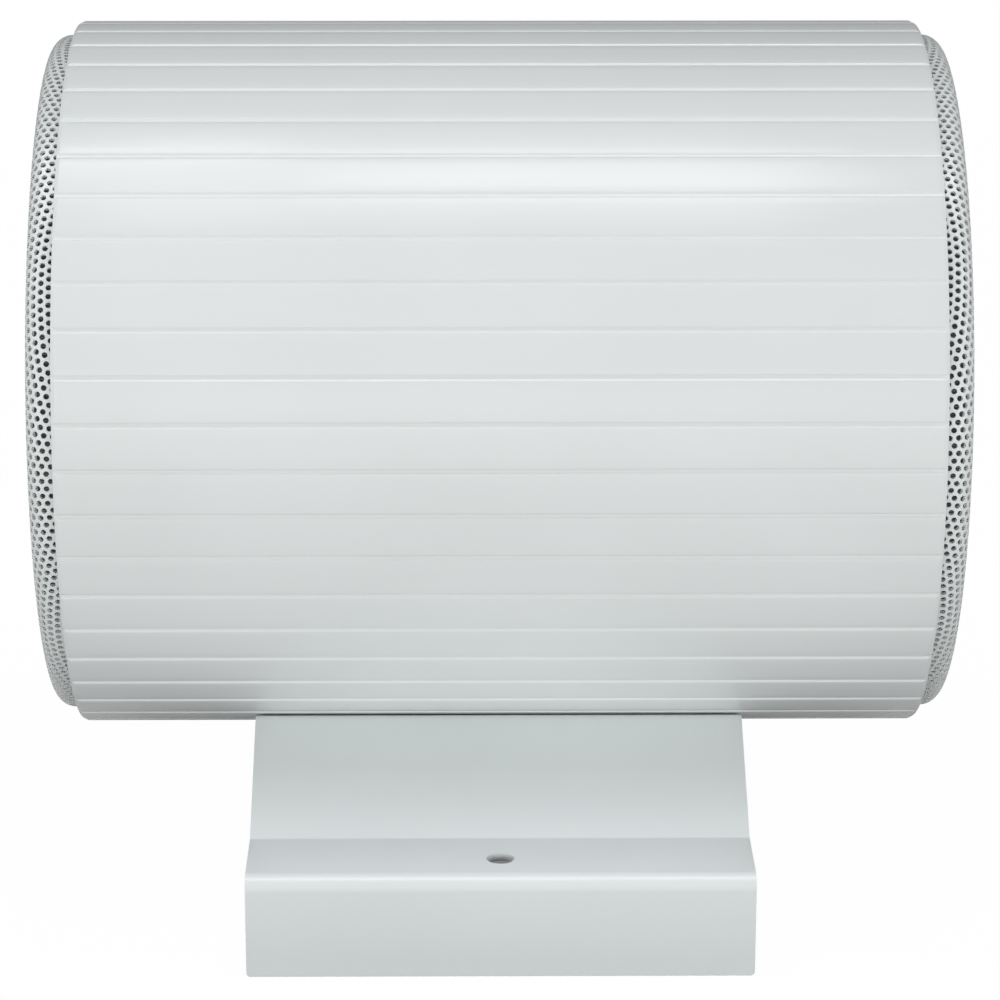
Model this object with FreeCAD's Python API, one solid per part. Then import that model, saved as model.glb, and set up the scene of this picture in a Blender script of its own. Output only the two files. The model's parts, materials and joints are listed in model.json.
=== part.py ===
import FreeCAD, Part
import math
import os

# Two-way sound projector: an extruded tube with a loudspeaker behind a domed grille at each end,
# standing on one folded bracket. X runs along the tube, Y to the back and Z up.
# The origin is at the middle of the bracket's underside. All sizes are in millimetres.

# Tube extrusion
TUBE_RADIUS = 87.5
TUBE_LENGTH = 206.4
TUBE_WALL = 3.0
TUBE_EDGE_DEPTH = 0.5
TUBE_EDGE_LENGTH = 1.0
GROOVE_COUNT = 50
GROOVE_WIDTH = 1.5
GROOVE_FLOOR = 0.7
GROOVE_DEPTH = 0.4
FLOOR_THICKNESS = 10.5
BOSS_COUNT = 4
BOSS_RADIUS = 4.5
BOSS_INSET = 8.0

# Bracket folded from one sheet
FOOT_WIDTH = 119.5
FOOT_DEPTH = 211.0
FOOT_CLEARANCE = 30.9
FOOT_SHEET = 2.0
FOOT_BEND = 1.5
SKIRT_HEIGHT = 24.9
LEDGE_WIDTH = 24.3
SADDLE_ANGLE = 32.0
SKIRT_CORNER = 1.0
FIXING_SPACING = 187.0
FIXING_HOLE_RADIUS = 3.3
SADDLE_GASKET = 0.6
SADDLE_GASKET_ANGLE = 24.0
SADDLE_GASKET_MARGIN = 5.0

# Domed grille and what lies under its edge
GRILLE_RISE = 11.2
GRILLE_KNUCKLE = 4.2
GRILLE_EDGE = 2.4
GRILLE_SHEET = 1.0
GRILLE_CLEARANCE = 0.4
GRILLE_GASKET = 1.2
GRILLE_GASKET_WIDTH = 3.4
PERFORATION_PITCH = 13.6
PERFORATION_RADIUS = 4.2
PERFORATION_SIDES = 8
PERFORATION_MARGIN = 5.0
CLOTH_THICKNESS = 0.5
CLOTH_GAP = 0.2

# Baffle
BAFFLE_INSET = 9.0
BAFFLE_THICKNESS = 5.0
BAFFLE_CLEARANCE = 0.4
CUTOUT_CLEARANCE = 1.5

# Loudspeaker basket
BASKET_SHEET = 1.5
BASKET_RADIUS = 65.0
BASKET_FLANGE = 12.5
BASKET_CONE_DEPTH = 22.0
SHELF_OUTER_RADIUS = 38.5
SHELF_INNER_RADIUS = 32.0
SHELF_HEIGHT = 10.0
NECK_HOLE_RADIUS = 16.0
WINDOW_COUNT = 6
WINDOW_ANGLE = 38.0
WINDOW_MARGIN = 3.5
DRIVER_SCREW_COUNT = 4
DRIVER_SCREW_MARGIN = 4.5

# Magnet and voice coil
TOP_PLATE_RADIUS = 36.0
TOP_PLATE_THICKNESS = 5.0
MAGNET_RADIUS = 40.0
MAGNET_BORE_RADIUS = 19.0
MAGNET_THICKNESS = 12.0
BACK_PLATE_THICKNESS = 5.0
POLE_RADIUS = 12.4
POLE_PROUD = 0.5
COIL_RADIAL_GAP = 0.45
FORMER_WALL = 0.4
WINDING_WALL = 0.6
WINDING_LENGTH = 9.0
FORMER_TAIL = 1.5

# Cone, dust cap, surround and spider
CONE_SHEET = 0.7
CONE_RIM_WIDTH = 3.0
CONE_DEPTH = 14.0
CAP_RADIUS = 17.0
CAP_RISE = 5.0
CAP_SHEET = 0.6
SURROUND_WIDTH = 6.5
SURROUND_SHEET = 0.6
SURROUND_LANDING = 4.5
SURROUND_DROP = 3.0
FRONT_GASKET = 2.0
SPIDER_SHEET = 0.5
SPIDER_RIPPLES = 8
SPIDER_RIPPLE_HEIGHT = 0.7
SPIDER_RISE = 3.0
SPIDER_RIM_GAP = 0.5
SPIDER_LANDING = 6.0
SPIDER_COLLAR = 2.0
MOVING_GAP = 0.3

# Loudspeaker tag strip
TAG_WIDTH = 14.0
TAG_HEIGHT = 10.0
TAG_THICKNESS = 1.5
TAG_SETBACK = 4.0

# Line transformer of E and I laminations
CORE_LEG = 8.0
CORE_STACK = 17.0
CORE_WINDOW_HEIGHT = 24.0
BOBBIN_WALL = 0.8
BOBBIN_FLANGE = 1.2
BOBBIN_GAP = 0.2
WINDING_OVERHANG = 7.0
WINDING_CORNER = 3.0
STRAP_SHEET = 0.8
STRAP_WIDTH = 15.0
STRAP_FOOT = 7.0

# Terminal block
BLOCK_LENGTH = 40.0
BLOCK_WIDTH = 18.0
BLOCK_HEIGHT = 16.0
BLOCK_SHOULDER = 5.0
BLOCK_WAYS = 4
BLOCK_ENTRY_RADIUS = 2.2
BLOCK_WELL_RADIUS = 2.6
BLOCK_WELL_WALL = 1.0
BLOCK_TO_CORE = 24.0

# Cable gland
GLAND_X = -32.0
GLAND_FLATS = 20.0
GLAND_FLANGE = 5.0
GLAND_THREAD_RADIUS = 7.9
GLAND_THREAD_PROUD = 7.0
GLAND_BORE_RADIUS = 5.9
GLAND_NECK_RADIUS = 7.0
GLAND_NECK_LENGTH = 7.5
GLAND_CAP_FLATS = 18.5
GLAND_CAP_RADIUS = 10.0
GLAND_CAP_SKIRT = 7.8
GLAND_CAP_DOME = 5.0
GLAND_CAP_MOUTH_RADIUS = 4.8
GLAND_CAP_TIP_RADIUS = 6.8
GLAND_SEAL_RADIUS = 4.0
GLAND_SEAL_LENGTH = 10.0
LOCKNUT_THICKNESS = 4.0
LOCKNUT_FLATS = 20.0

# Screws: head radius, head height, shank radius, length under the head
BAFFLE_SCREW = (3.5, 2.6, 1.9, 16.0)
DRIVER_SCREW = (3.2, 2.4, 1.7, 6.0)
BRACKET_SCREW = (5.4, 4.0, 3.0, 12.0)
STRAP_SCREW = (2.8, 2.2, 1.5, 4.6)
CLAMP_SCREW = (2.2, 1.2, 1.5, 4.4)
BRACKET_SCREW_X = 50.0
WASHER_RADIUS = 6.2
WASHER_THICKNESS = 1.2
HEAD_CHAMFER_SHARE = 0.35
SOCKET_SHARE = 0.5
THROUGH_CLEARANCE = 0.25
SEAT_GAP = 0.05

# Inner leads
LEAD_RADIUS = 1.3
LEAD_BEND_SHARE = 0.45
LEAD_SIDE = 8.0
LEAD_STRAIGHT = 5.0
LEAD_ENTRY = 3.0
LEAD_SAG = 4.0

Vector = FreeCAD.Vector
ORIGIN = Vector(0, 0, 0)
ALONG_X = Vector(1, 0, 0)
ALONG_Z = Vector(0, 0, 1)
FULL_TURN = 360.0

# Places along the tube, from its end inwards, for the right-hand loudspeaker
tube_end = TUBE_LENGTH / 2
tube_bore = TUBE_RADIUS - TUBE_WALL
baffle_front = tube_end - BAFFLE_INSET
shoulder = baffle_front - BAFFLE_THICKNESS
flange_front = baffle_front + BASKET_SHEET
shelf_front = flange_front - BASKET_CONE_DEPTH
plate_front = shelf_front - SHELF_HEIGHT - BASKET_SHEET
plate_back = plate_front - TOP_PLATE_THICKNESS
magnet_back = plate_back - MAGNET_THICKNESS
yoke_back = magnet_back - BACK_PLATE_THICKNESS

# Rings and circles that neighbours share
grille_radius = tube_bore - GRILLE_CLEARANCE
boss_circle = tube_bore - BOSS_INSET
basket_mouth = BASKET_RADIUS - BASKET_FLANGE
cone_radius = basket_mouth - SURROUND_WIDTH
driver_screw_circle = BASKET_RADIUS - DRIVER_SCREW_MARGIN
cutout_radius = basket_mouth + BASKET_SHEET + CUTOUT_CLEARANCE
former_inside = POLE_RADIUS + COIL_RADIAL_GAP
former_outside = former_inside + FORMER_WALL
winding_outside = former_outside + WINDING_WALL
gap_radius = winding_outside + COIL_RADIAL_GAP
roll_radius = SURROUND_WIDTH / 2
lip_back = flange_front - SURROUND_DROP
cone_front = lip_back - MOVING_GAP
cone_neck = cone_front - CONE_DEPTH
winding_middle = plate_front - TOP_PLATE_THICKNESS / 2

# Heights, measured from the tube's axis
axis_height = TUBE_RADIUS + FOOT_CLEARANCE
floor_level = FLOOR_THICKNESS - TUBE_RADIUS
saddle_radius = TUBE_RADIUS + SADDLE_GASKET
saddle_under = -saddle_radius - FOOT_SHEET
core_width = 6 * CORE_LEG
core_height = CORE_WINDOW_HEIGHT + 2 * CORE_LEG
core_top = floor_level + core_height
winding_face = CORE_STACK / 2 + WINDING_OVERHANG


def turned(outline):
    """Solid turned about the tube's axis from a closed outline of (x, radius) points."""
    points = [Vector(x, 0, radius) for x, radius in outline]
    face = Part.Face(Part.makePolygon(points + points[:1]))
    return face.revolve(ORIGIN, ALONG_X, FULL_TURN)


def turned_upright(outline, x, y):
    """Solid turned about the upright line at (x, y) from a closed outline of (radius, z) points."""
    points = [Vector(x + radius, y, z) for radius, z in outline]
    face = Part.Face(Part.makePolygon(points + points[:1]))
    return face.revolve(Vector(x, y, 0), ALONG_Z, FULL_TURN)


def ring(x_low, x_high, inside, outside):
    """Flat ring about the tube's axis."""
    return turned([(x_low, inside), (x_low, outside), (x_high, outside), (x_high, inside)])


def rod(x_low, x_high, y, z, radius):
    """Round bar parallel to the tube."""
    return Part.makeCylinder(radius, x_high - x_low, Vector(x_low, y, z), ALONG_X)


def post(x, y, z_low, z_high, radius):
    """Round bar standing upright."""
    return Part.makeCylinder(radius, z_high - z_low, Vector(x, y, z_low), ALONG_Z)


def block(x_low, x_high, y_low, y_high, z_low, z_high):
    """Straight-sided block between two corners."""
    corner = Vector(x_low, y_low, z_low)
    return Part.makeBox(x_high - x_low, y_high - y_low, z_high - z_low, corner)


def prism(sides, radius, start, along):
    """Regular prism of some sides, from a start point along a vector."""
    points = []
    across = Vector(0, 1, 0)
    third = along.cross(across).normalize()
    for side in range(sides):
        angle = 2 * math.pi * side / sides
        points.append(start + across * (radius * math.cos(angle)) + third * (radius * math.sin(angle)))
    return Part.Face(Part.makePolygon(points + points[:1])).extrude(along)


def hexagon(flats, x, z_low, z_high):
    """Upright six-sided prism with this width across its flats."""
    return prism(6, flats / math.sqrt(3), Vector(x, 0, z_low), Vector(0, 0, z_high - z_low))


def sheet(points, thickness):
    """Closed outline of a folded sheet: its path, then the same path moved to its right by the thickness."""
    normals = []
    for (a_u, a_v), (b_u, b_v) in zip(points, points[1:]):
        run = math.hypot(b_u - a_u, b_v - a_v)
        normals.append(((b_v - a_v) / run, (a_u - b_u) / run))
    moved = []
    for index, (u, v) in enumerate(points):
        before = normals[max(index - 1, 0)]
        after = normals[min(index, len(normals) - 1)]
        share = thickness / (1 + before[0] * after[0] + before[1] * after[1])
        moved.append((u + share * (before[0] + after[0]), v + share * (before[1] + after[1])))
    return points + moved[::-1]


def angles(count, start=0.0):
    """Evenly spaced angles round the tube, in degrees."""
    return [start + FULL_TURN * index / count for index in range(count)]


def around(shape, turns):
    """Copies of a shape turned about the tube's axis."""
    return [shape.rotated(ORIGIN, ALONG_X, turn) for turn in turns]


def screw(size):
    """Pan-head screw on the X axis, with the underside of its head at the origin and its tip towards -X."""
    head_radius, head_height, shank_radius, length = size
    chamfer = HEAD_CHAMFER_SHARE * head_height
    body = turned([
        (-length, 0), (-length, shank_radius), (0, shank_radius), (0, head_radius),
        (head_height - chamfer, head_radius), (head_height, head_radius - chamfer), (head_height, 0),
    ])
    depth = SOCKET_SHARE * head_height
    socket = prism(6, SOCKET_SHARE * head_radius, Vector(head_height - depth, 0, 0), Vector(depth, 0, 0))
    return body.cut(socket)


def upright_screw(size, x, y, z, head_up):
    """Screw standing at (x, y), with the underside of its head at z."""
    turn = -90 if head_up else 90
    standing = screw(size).rotated(ORIGIN, Vector(0, 1, 0), turn)
    return standing.translated(Vector(x, y, z))


def lead(points):
    """Round lead along straight runs joined by tangent arcs."""
    edges = []
    start = points[0]
    for before, corner, after in zip(points, points[1:], points[2:]):
        inward = (before - corner).normalize()
        outward = (after - corner).normalize()
        reach = LEAD_BEND_SHARE * min((before - corner).Length, (after - corner).Length)
        half_turn = (math.pi - inward.getAngle(outward)) / 2
        radius = reach / math.tan(half_turn)
        bisector = (inward + outward).normalize()
        middle = corner + bisector * (radius / math.cos(half_turn) - radius)
        arc_start = corner + inward * reach
        arc_end = corner + outward * reach
        edges.append(Part.LineSegment(start, arc_start).toShape())
        edges.append(Part.Arc(arc_start, middle, arc_end).toShape())
        start = arc_end
    edges.append(Part.LineSegment(start, points[-1]).toShape())
    path = Part.Wire(edges)
    section = Part.Wire(Part.makeCircle(LEAD_RADIUS, points[0], points[1] - points[0]))
    return path.makePipeShell([section], True, False)


def disc_across(radius):
    """Round face across the tube."""
    return Part.Face(Part.Wire(Part.makeCircle(radius, ORIGIN, ALONG_X)))


def face_across(points):
    """Flat face across the tube, from (y, z) points."""
    corners = [Vector(0, y, z) for y, z in points]
    return Part.Face(Part.makePolygon(corners + corners[:1]))


def boss_turns():
    """Angles of the screw bosses inside the tube."""
    return angles(BOSS_COUNT, FULL_TURN / BOSS_COUNT / 2)


def make_tube():
    """Extrusion with grooves outside, and a flat floor and screw bosses inside."""
    outer_corner = TUBE_RADIUS + GROOVE_DEPTH
    flare = (GROOVE_WIDTH - GROOVE_FLOOR) / 2
    groove = face_across([
        (TUBE_RADIUS - GROOVE_DEPTH, -GROOVE_FLOOR / 2),
        (outer_corner, -GROOVE_FLOOR / 2 - 2 * flare),
        (outer_corner, GROOVE_FLOOR / 2 + 2 * flare),
        (TUBE_RADIUS - GROOVE_DEPTH, GROOVE_FLOOR / 2),
    ])
    floor = face_across([
        (-TUBE_RADIUS, -TUBE_RADIUS), (TUBE_RADIUS, -TUBE_RADIUS),
        (TUBE_RADIUS, floor_level), (-TUBE_RADIUS, floor_level),
    ])
    boss_head = Part.Face(Part.Wire(Part.makeCircle(BOSS_RADIUS, Vector(0, boss_circle, 0), ALONG_X)))
    boss_web = face_across([
        (boss_circle, -BOSS_RADIUS), (TUBE_RADIUS, -BOSS_RADIUS),
        (TUBE_RADIUS, BOSS_RADIUS), (boss_circle, BOSS_RADIUS),
    ])
    boss = boss_head.fuse(boss_web)
    hollow = disc_across(tube_bore).cut([floor] + around(boss, boss_turns()))
    profile = disc_across(TUBE_RADIUS).cut([hollow] + around(groove, angles(GROOVE_COUNT)))
    tube = profile.Faces[0].extrude(Vector(TUBE_LENGTH, 0, 0)).translated(Vector(-tube_end, 0, 0))
    edge_start = tube_end - TUBE_EDGE_LENGTH
    edge_stop = tube_end + TUBE_EDGE_LENGTH
    edge = turned([
        (edge_start, TUBE_RADIUS), (edge_stop, TUBE_RADIUS - 2 * TUBE_EDGE_DEPTH),
        (edge_stop, TUBE_RADIUS + TUBE_EDGE_DEPTH), (edge_start, TUBE_RADIUS + TUBE_EDGE_DEPTH),
    ])
    counterbore = rod(shoulder, tube_end, 0, 0, tube_bore)
    cuts = [cut for one in (edge, counterbore) for cut in (one, one.mirror(ORIGIN, ALONG_X))]
    pilot = BAFFLE_SCREW[2] + SEAT_GAP
    cuts += around(rod(-tube_end, tube_end, boss_circle, 0, pilot), boss_turns())
    cuts += [
        post(x, 0, -TUBE_RADIUS - SEAT_GAP, floor_level, BRACKET_SCREW[2] + SEAT_GAP)
        for x in (-BRACKET_SCREW_X, BRACKET_SCREW_X)
    ]
    gland_hole = GLAND_THREAD_RADIUS + THROUGH_CLEARANCE
    cuts.append(post(GLAND_X, 0, -TUBE_RADIUS - SEAT_GAP, floor_level, gland_hole))
    strap_pilot = STRAP_SCREW[2] + SEAT_GAP
    cuts += [
        post(0, y, floor_level + STRAP_SHEET - STRAP_SCREW[3] - THROUGH_CLEARANCE, floor_level, strap_pilot)
        for y in strap_holes()
    ]
    return tube.cut(cuts)


def corner_edges(shape, corners):
    """Edges along the tube that pass through these (y, z) corners."""
    found = []
    for edge in shape.Edges:
        first = edge.Vertexes[0].Point
        last = edge.Vertexes[-1].Point
        along = abs(first.y - last.y) < SEAT_GAP and abs(first.z - last.z) < SEAT_GAP
        near = any(math.hypot(first.y - y, first.z - z) < FOOT_SHEET / 2 for y, z in corners)
        if along and near:
            found.append(edge)
    return found


def make_bracket():
    """One sheet folded into a saddle under the tube, two slopes, two ledges and two skirts."""
    base = -axis_height
    half = FOOT_DEPTH / 2
    ledge = base + SKIRT_HEIGHT
    fold = half - LEDGE_WIDTH
    ridge_y = saddle_radius * math.sin(math.radians(SADDLE_ANGLE))
    ridge_z = -saddle_radius * math.cos(math.radians(SADDLE_ANGLE))
    path = [(half, base), (half, ledge), (fold, ledge), (ridge_y, ridge_z)]
    inner = sheet(path[::-1], FOOT_SHEET)[len(path):]
    outside = face_across(path + [(-y, z) for y, z in path[::-1]])
    inside = face_across(inner + [(-y, z) for y, z in inner[::-1]])
    saddle = disc_across(saddle_radius)
    saddle_below = disc_across(saddle_radius + FOOT_SHEET)
    profile = outside.cut(saddle).cut(inside.cut(saddle_below))
    bracket = profile.Faces[0].extrude(Vector(FOOT_WIDTH, 0, 0)).translated(Vector(-FOOT_WIDTH / 2, 0, 0))
    inner_skirt, inner_fold = inner[1], inner[2]
    tight = [(fold, ledge), inner_skirt]
    wide = [(half, ledge), inner_fold]
    ridge = [(ridge_y, ridge_z)]
    bends = ((wide, FOOT_BEND + FOOT_SHEET), (tight, FOOT_BEND), (ridge, FOOT_SHEET))
    for corners, radius in bends:
        both = corners + [(-y, z) for y, z in corners]
        bracket = bracket.makeFillet(radius, corner_edges(bracket, both))
    foot_corners = [
        edge for edge in bracket.Edges
        if abs(edge.Length - FOOT_SHEET) < SEAT_GAP and abs(edge.CenterOfMass.z - base) < SEAT_GAP
    ]
    bracket = bracket.makeFillet(SKIRT_CORNER, foot_corners)
    holes = [
        post(0, y, ledge - 2 * FOOT_SHEET, ledge + FOOT_SHEET, FIXING_HOLE_RADIUS)
        for y in (-FIXING_SPACING / 2, FIXING_SPACING / 2)
    ]
    low = saddle_under - FOOT_SHEET
    high = -TUBE_RADIUS
    holes += [
        post(x, 0, low, high, BRACKET_SCREW[2] + THROUGH_CLEARANCE)
        for x in (-BRACKET_SCREW_X, BRACKET_SCREW_X)
    ]
    holes.append(post(GLAND_X, 0, low, high, GLAND_THREAD_RADIUS + THROUGH_CLEARANCE))
    return bracket.cut(holes)


def make_saddle_gasket():
    """Rubber sheet bent between the tube and the saddle, with holes for the screws and the gland."""
    length = FOOT_WIDTH - 2 * SADDLE_GASKET_MARGIN
    section = Part.Face(Part.makePolygon([
        Vector(-length / 2, 0, -TUBE_RADIUS - SEAT_GAP), Vector(length / 2, 0, -TUBE_RADIUS - SEAT_GAP),
        Vector(length / 2, 0, -saddle_radius + SEAT_GAP), Vector(-length / 2, 0, -saddle_radius + SEAT_GAP),
        Vector(-length / 2, 0, -TUBE_RADIUS - SEAT_GAP),
    ]))
    bent = section.revolve(ORIGIN, ALONG_X, 2 * SADDLE_GASKET_ANGLE)
    bent = bent.rotated(ORIGIN, ALONG_X, -SADDLE_GASKET_ANGLE)
    holes = [
        post(x, 0, saddle_under, -TUBE_RADIUS + SADDLE_GASKET, BRACKET_SCREW[2] + THROUGH_CLEARANCE)
        for x in (-BRACKET_SCREW_X, BRACKET_SCREW_X)
    ]
    gland_hole = GLAND_THREAD_RADIUS + THROUGH_CLEARANCE
    holes.append(post(GLAND_X, 0, saddle_under, -TUBE_RADIUS + SADDLE_GASKET, gland_hole))
    return bent.cut(holes)


def make_bracket_fixings():
    """Screws that hold the saddle to the tube's floor, and the washers under their heads."""
    screws = []
    washers = []
    washer_top = saddle_under - SEAT_GAP
    washer_bottom = washer_top - WASHER_THICKNESS
    for x in (-BRACKET_SCREW_X, BRACKET_SCREW_X):
        screws.append(upright_screw(BRACKET_SCREW, x, 0, washer_bottom, False))
        washer = post(x, 0, washer_bottom, washer_top, WASHER_RADIUS)
        hole = post(x, 0, washer_bottom, washer_top, BRACKET_SCREW[2] + THROUGH_CLEARANCE)
        washers.append(washer.cut(hole))
    return Part.makeCompound(screws), Part.makeCompound(washers)


def make_gland():
    """Cable gland through the saddle and the tube's floor: body, locknut, seal and cap."""
    flange_top = saddle_under - SEAT_GAP
    flange_bottom = flange_top - GLAND_FLANGE
    neck_bottom = flange_bottom - GLAND_NECK_LENGTH
    thread_top = floor_level + GLAND_THREAD_PROUD
    stem = turned_upright([
        (GLAND_BORE_RADIUS, neck_bottom), (GLAND_NECK_RADIUS, neck_bottom),
        (GLAND_NECK_RADIUS, flange_bottom), (GLAND_THREAD_RADIUS, flange_top),
        (GLAND_THREAD_RADIUS, thread_top), (GLAND_BORE_RADIUS, thread_top),
    ], GLAND_X, 0)
    flange = hexagon(GLAND_FLATS, GLAND_X, flange_bottom, flange_top)
    body = stem.fuse(flange.cut(post(GLAND_X, 0, flange_bottom, flange_top, GLAND_BORE_RADIUS)))
    nut = hexagon(LOCKNUT_FLATS, GLAND_X, floor_level, floor_level + LOCKNUT_THICKNESS)
    nut_hole = GLAND_THREAD_RADIUS + SEAT_GAP
    locknut = nut.cut(post(GLAND_X, 0, floor_level, floor_level + LOCKNUT_THICKNESS, nut_hole))
    cap_inside = GLAND_NECK_RADIUS + SEAT_GAP
    cap_floor = neck_bottom - SEAT_GAP
    cap_skirt = cap_floor + GLAND_NECK_LENGTH - SEAT_GAP
    cap_low = cap_skirt - GLAND_CAP_SKIRT
    cap_tip = cap_low - GLAND_CAP_DOME
    cap = turned_upright([
        (cap_inside, cap_skirt), (GLAND_CAP_RADIUS, cap_skirt), (GLAND_CAP_RADIUS, cap_low),
        (GLAND_CAP_TIP_RADIUS, cap_tip), (GLAND_CAP_MOUTH_RADIUS, cap_tip),
        (GLAND_CAP_MOUTH_RADIUS, cap_floor), (cap_inside, cap_floor),
    ], GLAND_X, 0)
    cap = cap.common(hexagon(GLAND_CAP_FLATS, GLAND_X, cap_tip, cap_skirt))
    seal_outside = GLAND_BORE_RADIUS - SEAT_GAP
    seal_top = neck_bottom + GLAND_SEAL_LENGTH
    seal = turned_upright([
        (GLAND_SEAL_RADIUS, neck_bottom), (seal_outside, neck_bottom),
        (seal_outside, seal_top), (GLAND_SEAL_RADIUS, seal_top),
    ], GLAND_X, 0)
    return body.removeSplitter(), locknut, cap, seal


def dome_shape():
    """Centres, crown radius and joining angle of the grille's outer curve."""
    apex = tube_end + GRILLE_RISE
    knuckle_x = tube_end + GRILLE_EDGE
    knuckle_r = grille_radius - GRILLE_KNUCKLE
    drop = knuckle_x - apex
    crown = (GRILLE_KNUCKLE ** 2 - drop ** 2 - knuckle_r ** 2) / (2 * (drop + GRILLE_KNUCKLE))
    crown_x = apex - crown
    join = math.atan2(knuckle_x - crown_x, knuckle_r)
    return knuckle_x, knuckle_r, crown_x, crown, join


def on_arc(centre_x, centre_r, radius, angle):
    """Point of an arc, with its angle measured from straight outwards towards the tube's end."""
    return Vector(centre_x + radius * math.sin(angle), 0, centre_r + radius * math.cos(angle))


def crown_arc(inset):
    """Arc of the grille's crown, some way inside its outer face, from the knuckle to the axis."""
    crown_x, crown, join = dome_shape()[2:]
    middle = (join + math.pi / 2) / 2
    stops = [on_arc(crown_x, 0, crown - inset, angle) for angle in (join, middle, math.pi / 2)]
    return Part.Arc(*stops).toShape()


def knuckle_arc(inset):
    """Arc of the grille's knuckle, some way inside its outer face."""
    knuckle_x, knuckle_r, _, _, join = dome_shape()
    radius = GRILLE_KNUCKLE - inset
    stops = [on_arc(knuckle_x, knuckle_r, radius, angle) for angle in (0, join / 2, join)]
    return Part.Arc(*stops).toShape()


def line(start, end):
    """Straight edge between two points."""
    return Part.LineSegment(start, end).toShape()


def shell_of(edges):
    """Solid turned about the tube's axis from a closed loop of edges."""
    wire = Part.Wire(Part.__sortEdges__(edges))
    return Part.Face(wire).revolve(ORIGIN, ALONG_X, FULL_TURN)


def perforations():
    """Holes in close-packed level rows over the grille's crown."""
    reach = dome_shape()[1] - PERFORATION_MARGIN
    row_step = PERFORATION_PITCH * math.sqrt(3) / 2
    rows = int(reach / row_step)
    per_row = int(reach / PERFORATION_PITCH) + 1
    through = Vector(GRILLE_RISE + GRILLE_SHEET, 0, 0)
    holes = []
    for row in range(-rows, rows + 1):
        for place in range(-per_row, per_row + 1):
            y = (place + (row % 2) / 2) * PERFORATION_PITCH
            z = row * row_step
            if math.hypot(y, z) <= reach:
                start = Vector(tube_end, y, z)
                holes.append(prism(PERFORATION_SIDES, PERFORATION_RADIUS, start, through))
    return holes


def make_grille():
    """Domed pan of perforated sheet, with a short skirt that stands inside the tube's end."""
    skirt_x = baffle_front + GRILLE_GASKET
    knuckle_x = dome_shape()[0]
    inner_radius = grille_radius - GRILLE_SHEET
    apex = tube_end + GRILLE_RISE
    pan = shell_of([
        line(Vector(skirt_x, 0, grille_radius), Vector(knuckle_x, 0, grille_radius)),
        knuckle_arc(0), crown_arc(0),
        line(Vector(apex, 0, 0), Vector(apex - GRILLE_SHEET, 0, 0)),
        crown_arc(GRILLE_SHEET), knuckle_arc(GRILLE_SHEET),
        line(Vector(knuckle_x, 0, inner_radius), Vector(skirt_x, 0, inner_radius)),
        line(Vector(skirt_x, 0, inner_radius), Vector(skirt_x, 0, grille_radius)),
    ])
    return pan.cut(perforations())


def make_cloth():
    """Dust cloth behind the grille's crown."""
    front = GRILLE_SHEET + CLOTH_GAP
    back = front + CLOTH_THICKNESS
    apex = tube_end + GRILLE_RISE
    outer = crown_arc(front)
    inner = crown_arc(back)
    return shell_of([
        outer, inner, line(outer.Vertexes[0].Point, inner.Vertexes[0].Point),
        line(Vector(apex - front, 0, 0), Vector(apex - back, 0, 0)),
    ])


def make_grille_gasket():
    """Rubber ring between the grille's skirt and the baffle."""
    front = baffle_front + GRILLE_GASKET
    return ring(baffle_front, front, grille_radius - GRILLE_GASKET_WIDTH, grille_radius)


def make_baffle():
    """Moulded plate across the tube, with the loudspeaker's cut-out and two rings of screw holes."""
    plate = ring(shoulder, baffle_front, cutout_radius, tube_bore - BAFFLE_CLEARANCE)
    wall_hole = rod(shoulder, baffle_front, boss_circle, 0, BAFFLE_SCREW[2] + THROUGH_CLEARANCE)
    driver_hole = rod(shoulder, baffle_front, driver_screw_circle, 0, DRIVER_SCREW[2] + SEAT_GAP)
    return plate.cut(around(wall_hole, boss_turns()) + around(driver_hole, driver_turns()))


def driver_turns():
    """Angles of the loudspeaker's mounting screws."""
    return angles(DRIVER_SCREW_COUNT, FULL_TURN / DRIVER_SCREW_COUNT / 2)


def screw_ring(size, seat, circle, turns):
    """Group of screws round the tube's axis, driven in from the end."""
    one = screw(size).translated(Vector(seat, circle, 0))
    return Part.makeCompound(around(one, turns))


def make_basket():
    """Pressed frame: flange, windowed cone, spider shelf and the plate that the magnet hangs on."""
    frame = turned(sheet([
        (flange_front, BASKET_RADIUS), (flange_front, basket_mouth),
        (shelf_front, SHELF_OUTER_RADIUS), (shelf_front, SHELF_INNER_RADIUS),
        (plate_front + BASKET_SHEET, SHELF_INNER_RADIUS), (plate_front + BASKET_SHEET, NECK_HOLE_RADIUS),
    ], BASKET_SHEET))
    low = shelf_front + WINDOW_MARGIN
    high = baffle_front - WINDOW_MARGIN
    opening = Part.Face(Part.makePolygon([
        Vector(low, 0, SHELF_INNER_RADIUS), Vector(high, 0, SHELF_INNER_RADIUS),
        Vector(high, 0, BASKET_RADIUS), Vector(low, 0, BASKET_RADIUS), Vector(low, 0, SHELF_INNER_RADIUS),
    ])).revolve(ORIGIN, ALONG_X, WINDOW_ANGLE)
    first = FULL_TURN / WINDOW_COUNT / 2 - WINDOW_ANGLE / 2
    windows = around(opening, angles(WINDOW_COUNT, first))
    hole = rod(baffle_front, flange_front, driver_screw_circle, 0, DRIVER_SCREW[2] + THROUGH_CLEARANCE)
    return frame.cut(windows + around(hole, driver_turns()))


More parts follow.
